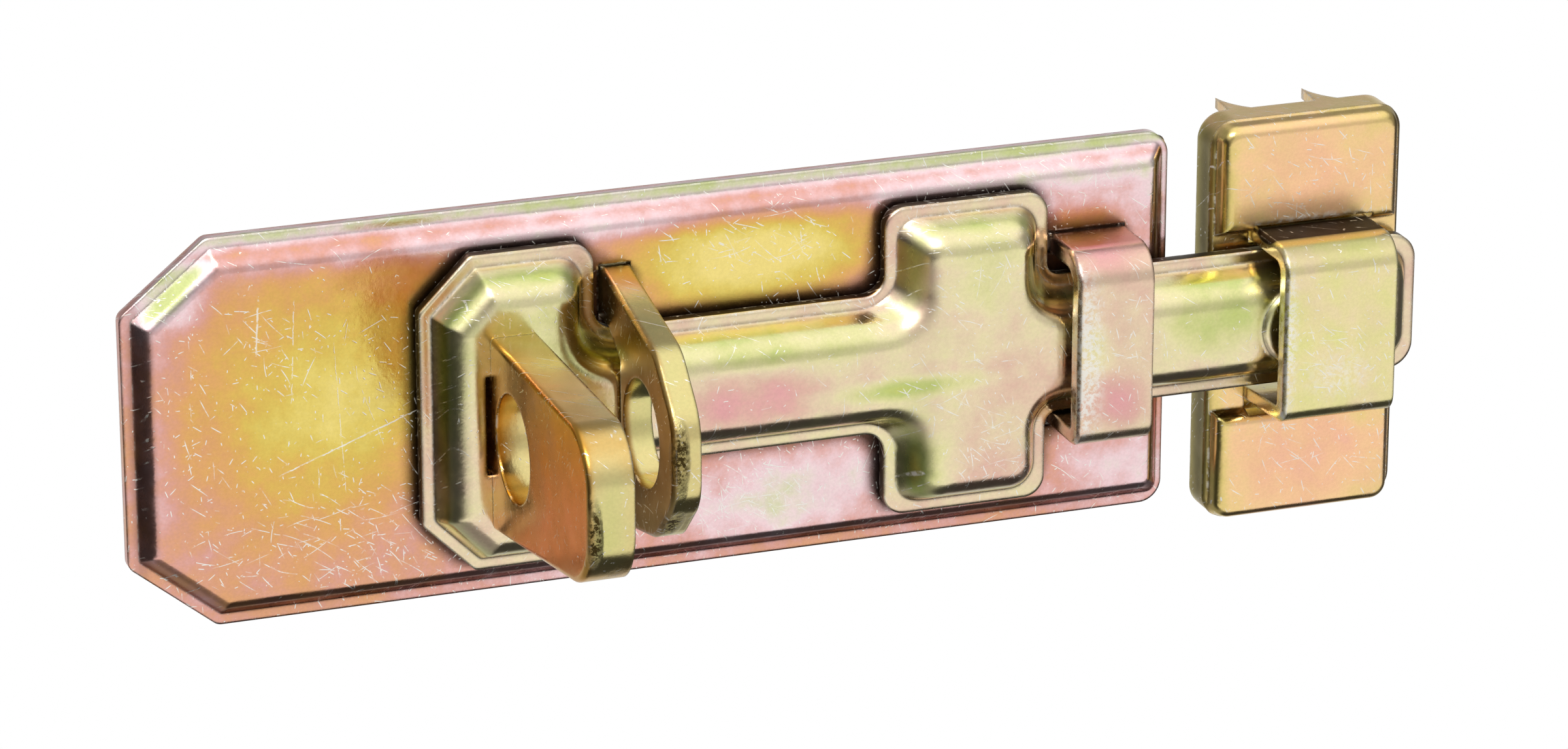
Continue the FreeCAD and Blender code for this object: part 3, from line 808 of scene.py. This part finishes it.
@dataclass
class PlateGroup:
    """The screwed plate with the fixed lug and the guide strap riveted to it."""

    panel: float = -1.4
    strap_x: float = 41.3
    strap_left: float = 36.8
    lug_x: float = -14.0

    def dress(self) -> None:
        """Puts the finishes on the plate, the lug and the strap."""
        dress("base_plate", self._plate_finish())
        dress("fixed_lug", self._lug_finish())
        dress("guide_strap", self._strap_finish())

    def _plate_finish(self) -> PassivatedZinc:
        """Gold at the left, orange and pink about it, pale at the right end."""
        y = self.panel
        return PassivatedZinc(
            "plate_zinc",
            PLATE_FILM,
            depth=0.54,
            patches=0.18,
            patch_scale=0.05,
            mottle=0.42,
            roughness=0.16,
            softness=0.6,
            # Painted shade in the tight gaps beside the bolt and the other pieces
            contact_shade=0.92,
            marks=(
                # Gold at the left and above the channel
                Mark((-46.0, y, 3.0), (27.0, 30.0, 21.0), -0.46),
                Mark((1.0, y, 13.5), (22.0, 20.0, 8.5), -0.64),
                # Pale right end and pale panel below the channel
                Mark((46.0, y, 15.0), (26.0, 20.0, 10.0), 0.16),
                Mark((46.0, y, -16.0), (16.0, 20.0, 8.0), 0.20),
                Mark((5.0, y, -15.0), (22.0, 20.0, 8.5), 0.27),
                # Orange above the guide strap
                Mark((self.strap_x - 0.3, y, 12.5), (9.0, 8.0, 4.0), -0.34),
                # Painted highlight: a pale band along the top. Pale band along the left, green chamfer
                # and green rim
                Mark((-5.0, y, 18.8), (130.0, 8.0, 2.6), 0.24),
                Mark((-66.0, y, 0.0), (5.0, 8.0, 24.0), 0.06),
                Mark((-62.8, -0.4, 16.0), (8.0, 1.8, 7.0), 0.50),
                Mark((-5.0, 0.5, 21.6), (EVERYWHERE, 1.7, 2.0), 0.38),
                # Painted shade on the left wall
                Mark((-66.8, -0.4, 0.0), (1.5, 2.0, 34.0), 0.55, Effect.GRIME),
                # Scuffed places of the panel, and the rubbed chamfer
                Mark((-46.0, y, -14.0), (24.0, 8.0, 9.0), 0.8, Effect.SCUFF),
                Mark((-52.0, y, 11.0), (8.0, 8.0, 7.0), 0.4, Effect.SCUFF),
                Mark((0.0, y, -14.5), (13.0, 8.0, 6.0), 1.3, Effect.SCUFF),
                Mark((2.0, y, 15.5), (15.0, 8.0, 4.5), 1.0, Effect.SCUFF),
                Mark((-55.0, 0.2, 17.0), (5.0, 2.0, 4.0), 0.5, Effect.WEAR),
            ),
            scratches=(
                Scratch((-53.0, -6.0), (-36.0, 0.2), 0.11, 0.9, 0.7),
                Scratch((-46.4, 9.0), (-45.4, -9.0), 0.07, 0.6, 1.0),
                Scratch((-50.6, 14.0), (-51.2, 2.0), 0.10, 0.6, 1.0),
                Scratch((-54.5, 14.5), (-54.9, 8.0), 0.14, 0.7, 1.0),
                Scratch((-44.5, 6.0), (-41.0, -4.0), 0.06, 0.5, 1.0),
            ),
            offset=(13.0, 5.0, 2.0),
        )

    def _lug_finish(self) -> PassivatedZinc:
        """Brown-gold side, cream cut edge with torn patches."""
        side = self.lug_x - 1.4
        return PassivatedZinc(
            "fixed_lug_zinc",
            LUG_FILM,
            depth=0.80,
            patches=0.14,
            face=Face.SIDE,
            marks=(
                # Torn steel at the tip and below it
                Mark((self.lug_x - 0.5, -25.2, 0.5), (1.3, 1.8, 5.5), 2.0, Effect.BREAK),
                Mark((self.lug_x - 0.3, -22.4, -9.0), (1.5, 4.0, 4.5), 2.0, Effect.BREAK),
                # Brown-gold left side, darkened by painted shade
                Mark((side, -13.0, 0.0), (1.0, 30.0, 30.0), -0.60),
                Mark((side, -12.0, -4.0), (1.0, 40.0, 40.0), 0.66, Effect.GRIME),
            ),
            offset=(3.0, 40.0, 12.0),
        )

    def _strap_finish(self) -> PassivatedZinc:
        """Pink-cream front with pale patches and a rubbed left edge."""
        return PassivatedZinc(
            "guide_strap_zinc",
            BOLT_FILM,
            depth=0.30,
            patches=0.24,
            patch_scale=0.14,
            edge_wear=0.9,
            marks=(
                # Pink top bend and low front, pale green between them
                Mark((self.strap_x, -8.0, 12.0), (9.0, 6.0, 4.0), -0.24),
                Mark((self.strap_x, -10.0, -5.0), (5.0, 4.0, 5.0), -0.28),
                Mark((self.strap_x - 2.0, -10.0, 2.0), (3.0, 4.0, 5.0), 0.22),
                # Rubbed left edge and scuffed front
                Mark((self.strap_left, -10.7, 0.0), (4.0, 3.4, 16.0), 2.2, Effect.WEAR),
                Mark((self.strap_x, -9.4, 0.0), (7.0, 4.0, 12.0), 0.4, Effect.SCUFF),
            ),
            offset=(30.0, 11.0, 70.0),
        )


@dataclass
class BoltGroup:
    """The sliding bolt, pressed from sheet, with the padlock lug riveted in its head."""

    face: float = -7.5
    rim_front: float = -3.5
    lug_x: float = -27.2

    def dress(self) -> None:
        """Puts the finishes on the bolt and its lug."""
        dress("bolt_slide", self._slide_finish())
        dress("bolt_lug", self._lug_finish())

    def _slide_finish(self) -> PassivatedZinc:
        """Pink and green along the channel, green-yellow on head and tongue."""
        y = self.face
        rim = self.rim_front
        return PassivatedZinc(
            "bolt_zinc",
            BOLT_FILM,
            depth=0.40,
            patches=0.18,
            mottle=0.5,
            roughness=0.18,
            softness=0.8,
            # Painted shade on the side walls of the rim
            shaded_walls=(rim + 0.1, rim + 0.4),
            marks=(
                # Green head: its flat, its slopes and its left slope
                Mark((-24.0, y, 9.0), (12.0, 14.0, 10.0), 0.20),
                Mark((-27.0, rim - 2.4, 6.0), (17.0, 2.4, 18.0), 0.22),
                Mark((-37.0, rim - 2.4, 0.0), (4.0, 3.0, 30.0), 0.26),
                # Pink on the wings and the channel
                Mark((33.0, y, -2.0), (9.0, 8.0, 5.0), -0.16),
                Mark((30.0, y, -13.0), (7.0, 8.0, 4.0), -0.14),
                Mark((1.0, y, -1.0), (16.0, 10.0, 5.0), -0.38),
                # Green streaks of the channel, the wings and the tongue
                Mark((18.0, y, -1.6), (16.0, 8.0, 2.0), 0.40),
                Mark((4.0, y, 4.2), (26.0, 3.0, 2.4), 0.22),
                Mark((27.0, y, 11.0), (9.0, 10.0, 7.0), 0.14),
                Mark((20.0, y, -12.0), (5.0, 10.0, 6.0), 0.30),
                Mark((55.0, y, 2.0), (10.0, 10.0, 7.0), 0.36),
                # Green slopes and cream rim all round
                Mark((20.0, rim - 2.0, 0.0), (EVERYWHERE, 1.5, EVERYWHERE), 0.22),
                Mark((20.0, rim, 0.0), (EVERYWHERE, 0.5, EVERYWHERE), -0.06),
                # Painted shade on the neck of the head and under the tongue
                Mark((-16.0, y + 2.0, 9.0), (3.0, 4.0, 5.0), 0.35, Effect.GRIME),
                Mark((55.0, rim - 1.5, -7.0), (10.0, 2.5, 2.0), 0.55, Effect.GRIME),
                # Scuffed wings and head
                Mark((30.0, y, -11.0), (9.0, 8.0, 6.0), 1.0, Effect.SCUFF),
                Mark((24.0, y, -1.0), (9.0, 8.0, 7.0), 0.5, Effect.SCUFF),
                Mark((-17.0, y, 12.0), (8.0, 8.0, 6.0), 0.5, Effect.SCUFF),
                # Matt slopes at the wings' left and right
                Mark((20.0, rim - 2.6, 0.0), (3.4, 3.0, 60.0), 0.22, Effect.MATT),
                Mark((38.0, rim - 2.2, 0.0), (3.0, 3.0, 60.0), 0.12, Effect.MATT),
            ),
            offset=(71.0, 19.0, 33.0),
        )

    def _lug_finish(self) -> PassivatedZinc:
        """Golden brown sides, cream cut edge with torn zones low on it."""
        return PassivatedZinc(
            "bolt_lug_zinc",
            LUG_FILM,
            depth=0.50,
            patches=0.16,
            face=Face.SIDE,
            edge_wear=0.9,
            marks=(
                # Torn steel on the tip's left border and low on it
                Mark((self.lug_x - 1.8, -40.8, -1.0), (1.0, 2.0, 5.5), 2.0, Effect.BREAK),
                Mark((self.lug_x + 1.0, -40.0, -8.5), (2.6, 3.0, 4.5), 2.0, Effect.BREAK),
                # Cream wall of the eye, golden brown left side, cream tip and top edge
                Mark((self.lug_x, -15.0, 0.0), (2.4, 18.0, 18.0), 0.34),
                Mark((self.lug_x - 2.6, -22.0, 0.0), (1.1, 60.0, 60.0), -0.46),
                Mark((self.lug_x, -41.2, 0.0), (7.0, 3.4, 18.0), 0.44),
                Mark((self.lug_x + 3.0, -20.0, 10.0), (4.0, 30.0, 2.0), 0.30),
                # Scuffed top edge
                Mark((self.lug_x + 3.0, -34.0, 9.0), (4.0, 12.0, 3.0), 0.6, Effect.SCUFF),
            ),
            offset=(5.0, 90.0, 21.0),
        )


@dataclass
class KeeperGroup:
    """The keeper on the frame: a pressed cover over a bent strap."""

    face: float = -2.7
    middle_x: float = 68.0
    cover_left: float = 56.4
    strap_left: float = 61.6

    def dress(self) -> None:
        """Puts the finishes on the cover and the strap."""
        dress("keeper_cover", self._cover_finish())
        dress("keeper_strap", self._strap_finish())

    def _cover_finish(self) -> PassivatedZinc:
        """Salmon blocks with olive rubbed edges, and painted shade that browns the side walls."""
        x, y = self.middle_x, self.face
        return PassivatedZinc(
            "keeper_cover_zinc",
            COVER_FILM,
            depth=0.34,
            patches=0.24,
            patch_scale=0.1,
            mottle=0.6,
            edge_wear=0.9,
            marks=(
                # Salmon blocks
                Mark((x, y, 16.5), (14.0, 2.4, 10.0), 0.26),
                Mark((x, y, -18.0), (14.0, 2.4, 10.0), 0.42),
                # Olive left edge and left wall, browned by painted shade on the wall
                Mark((self.cover_left + 1.0, y, 0.0), (2.4, 3.0, 60.0), -0.34),
                Mark((self.cover_left, 2.0, 0.0), (1.2, 6.0, 90.0), -0.40),
                Mark((self.cover_left, 0.6, 0.0), (1.4, 4.0, 90.0), 0.75, Effect.GRIME),
                # Matt, rubbed lower edge of the upper block
                Mark((x, y, 11.4), (13.0, 2.0, 4.0), 0.30, Effect.MATT),
                Mark((x, y, 10.8), (11.0, 1.2, 0.9), 0.9, Effect.WEAR),
                # Scuffed blocks
                Mark((x, y, 15.0), (12.0, 3.0, 9.0), 0.3, Effect.SCUFF),
                Mark((x, y, -18.0), (12.0, 3.0, 8.0), 0.3, Effect.SCUFF),
            ),
            offset=(44.0, 2.0, 5.0),
        )

    def _strap_finish(self) -> PassivatedZinc:
        """Yellow-cream with pink spots and bare flecks, and painted shade on top where it enters the
        cover.
        """
        x = self.middle_x
        return PassivatedZinc(
            "keeper_strap_zinc",
            KEEPER_FILM,
            depth=0.40,
            patches=0.36,
            patch_scale=0.12,
            mottle=0.6,
            edge_wear=0.9,
            marks=(
                # Rubbed left edge and front
                Mark((self.strap_left, -11.2, 0.0), (1.8, 3.0, 15.0), 1.6, Effect.WEAR),
                Mark((x, -11.4, -5.0), (6.0, 2.0, 4.0), 0.6, Effect.WEAR),
                # Painted shade on the top and, more lightly, on the upper bend
                Mark((x, -5.0, 10.4), (50.0, 3.3, 1.4), 4.0, Effect.GRIME),
                Mark((x, -9.8, 9.6), (50.0, 2.2, 2.2), 0.30, Effect.GRIME),
                # Scuffed front
                Mark((x, -11.0, -3.0), (8.0, 4.0, 6.0), 0.7, Effect.SCUFF),
            ),
            offset=(9.0, 61.0, 8.0),
        )


@dataclass(frozen=True)
class Glow:
    """A soft area of the studio's surroundings, by direction, in degrees from its middle."""

    toward: Point
    inner: float
    outer: float
    level: float


@dataclass
class Studio:
    """White ground, soft surroundings with dark sides, and the camera."""

    azimuth: float = -19.802
    elevation: float = 20.083
    distance: float = 0.68879
    target: Point = (0.006825, 0.0018, -0.001829)
    lens: float = 143.22
    sensor: float = 36.0
    ambient: float = 0.34
    glows: tuple[Glow, ...] = (
        Glow((0.1, -0.3, 0.93), 22.0, 58.0, 0.85),
        Glow((-0.62, -0.45, 0.64), 10.0, 34.0, 0.55),
        Glow((0.2, 0.85, -0.35), 20.0, 55.0, 0.40),
        Glow((0.3, -0.9, -0.1), 15.0, 50.0, 0.40),
    )
    cards: tuple[Glow, ...] = (
        Glow((-0.93, -0.28, -0.28), 18.0, 50.0, 0.85),
        Glow((0.9, 0.28, -0.33), 20.0, 44.0, 0.78),
        Glow((0.25, -0.1, -0.96), 18.0, 36.0, 0.85),
    )
    floor_drop: float = 0.45
    floor_fade: float = 0.6
    floor_box: tuple[float, float, float, float] = (-0.80, 1.7, -3.2, -0.30)
    lamp_place: Point = (-0.35, -0.55, 0.75)
    lamp_size: tuple[float, float] = (0.5, 0.35)
    lamp_watts: float = 4.0

    def build(self) -> None:
        """Sets up the view transform, surroundings, floor, lamp and camera."""
        bpy.context.scene.view_settings.view_transform = "Standard"
        self._surroundings()
        self._floor()
        self._lamp()
        self._camera()

    def _cone(self, graph: Graph, direction: Socket, glow: Glow) -> Socket:
        """Gives a soft cone about a direction.

        Args:
            graph: The node helper.
            direction: The ray's direction.
            glow: The cone.

        Returns:
            The cone's strength from 0 to 1.
        """
        toward = tuple(Vector(glow.toward).normalized())
        along = graph.vector("DOT_PRODUCT", direction, toward).outputs[1]
        rim = math.cos(math.radians(glow.outer))
        core = math.cos(math.radians(glow.inner))
        return graph.ease(along, Span(rim, core))

    def _surroundings(self) -> None:
        """Builds the world: white to the camera, a soft studio to everything else."""
        world = bpy.data.worlds.new("studio")
        bpy.context.scene.world = world
        world.use_nodes = True
        graph = Graph(world.node_tree)
        direction = graph.node("ShaderNodeTexCoord").outputs["Generated"]
        level: Socket | float = self.ambient
        for glow in self.glows:
            level = graph.sum("MULTIPLY_ADD", self._cone(graph, direction, glow), glow.level, level)
        for card in self.cards:
            kept = graph.sum("MULTIPLY_ADD", self._cone(graph, direction, card), -card.level, 1.0)
            level = graph.sum("MULTIPLY", level, kept)
        soft = graph.node("ShaderNodeBackground")
        soft.inputs["Color"].default_value = WHITE
        graph.feed(soft.inputs["Strength"], level)
        white = graph.node("ShaderNodeBackground")
        white.inputs["Color"].default_value = WHITE
        white.inputs["Strength"].default_value = 1.0
        path = graph.node("ShaderNodeLightPath")
        mix = graph.node("ShaderNodeMixShader")
        graph.feed(mix.inputs[0], path.outputs["Is Camera Ray"])
        graph.feed(mix.inputs[1], soft.outputs[0])
        graph.feed(mix.inputs[2], white.outputs[0])
        out = graph.node("ShaderNodeOutputWorld")
        graph.feed(out.inputs[0], mix.outputs[0])

    def _floor(self) -> None:
        """Lays the pale floor in front of and below the object."""
        left, right, near, far = self.floor_box
        z = -self.floor_drop
        corners = ((left, near, z), (right, near, z), (right, far, z), (left, far, z))
        sheet = bmesh.new()
        sheet.faces.new([sheet.verts.new(corner) for corner in corners])
        mesh = bpy.data.meshes.new("floor")
        sheet.to_mesh(mesh)
        sheet.free()
        mesh.materials.append(self._floor_paper(left))
        floor = bpy.data.objects.new("floor", mesh)
        bpy.context.scene.collection.objects.link(floor)

    def _floor_paper(self, left: float) -> bpy.types.Material:
        """Makes the floor's paper, which shows white to the camera and in the metal.

        Args:
            left: The floor's left edge, where its mirror image fades in.

        Returns:
            The new material.
        """
        made = bpy.data.materials.new("floor_paper")
        made.use_nodes = True
        graph = Graph(made.node_tree)
        paper = graph.node("ShaderNodeBsdfDiffuse")
        paper.inputs["Color"].default_value = FLOOR_PAPER
        white = graph.node("ShaderNodeEmission")
        white.inputs["Color"].default_value = WHITE
        white.inputs["Strength"].default_value = 1.0
        path = graph.node("ShaderNodeLightPath")
        across = graph.axes(graph.node("ShaderNodeTexCoord").outputs["Object"])[0]
        fade = graph.ease(across, Span(left, left + self.floor_fade))
        mirrored = graph.sum("MULTIPLY", path.outputs["Is Glossy Ray"], fade)
        seen = graph.sum("MAXIMUM", path.outputs["Is Camera Ray"], mirrored)
        seen = graph.sum("MAXIMUM", seen, path.outputs["Is Transmission Ray"])
        mix = graph.node("ShaderNodeMixShader")
        graph.feed(mix.inputs[0], seen)
        graph.feed(mix.inputs[1], paper.outputs[0])
        graph.feed(mix.inputs[2], white.outputs[0])
        out = graph.node("ShaderNodeOutputMaterial")
        graph.feed(out.inputs[0], mix.outputs[0])
        return made

    def _lamp(self) -> None:
        """Hangs one soft lamp above and to the left."""
        data = bpy.data.lights.new("softbox", "AREA")
        data.shape = "RECTANGLE"
        data.size, data.size_y = self.lamp_size
        data.energy = self.lamp_watts
        lamp = bpy.data.objects.new("softbox", data)
        lamp.location = self.lamp_place
        lamp.rotation_mode = "QUATERNION"
        lamp.rotation_quaternion = (-lamp.location).to_track_quat("-Z", "Y")
        bpy.context.scene.collection.objects.link(lamp)

    def _camera(self) -> None:
        """Places the camera at the photograph's viewing angle."""
        turn, rise = math.radians(self.azimuth), math.radians(self.elevation)
        back = Vector((math.sin(turn) * math.cos(rise), -math.cos(turn) * math.cos(rise), math.sin(rise)))
        data = bpy.data.cameras.new("camera")
        data.lens = self.lens
        data.sensor_width = self.sensor
        data.sensor_fit = "HORIZONTAL"
        camera = bpy.data.objects.new("camera", data)
        camera.location = Vector(self.target) + back * self.distance
        camera.rotation_mode = "QUATERNION"
        camera.rotation_quaternion = (-back).to_track_quat("-Z", "Y")
        bpy.context.scene.collection.objects.link(camera)
        bpy.context.scene.camera = camera


def main() -> None:
    """Dresses the padbolt and sets up the studio."""
    logging.basicConfig(level=logging.INFO, format="%(name)s %(message)s")
    for group in (PlateGroup(), BoltGroup(), KeeperGroup()):
        group.dress()
    Studio().build()


if __name__ == "__main__":
    main()
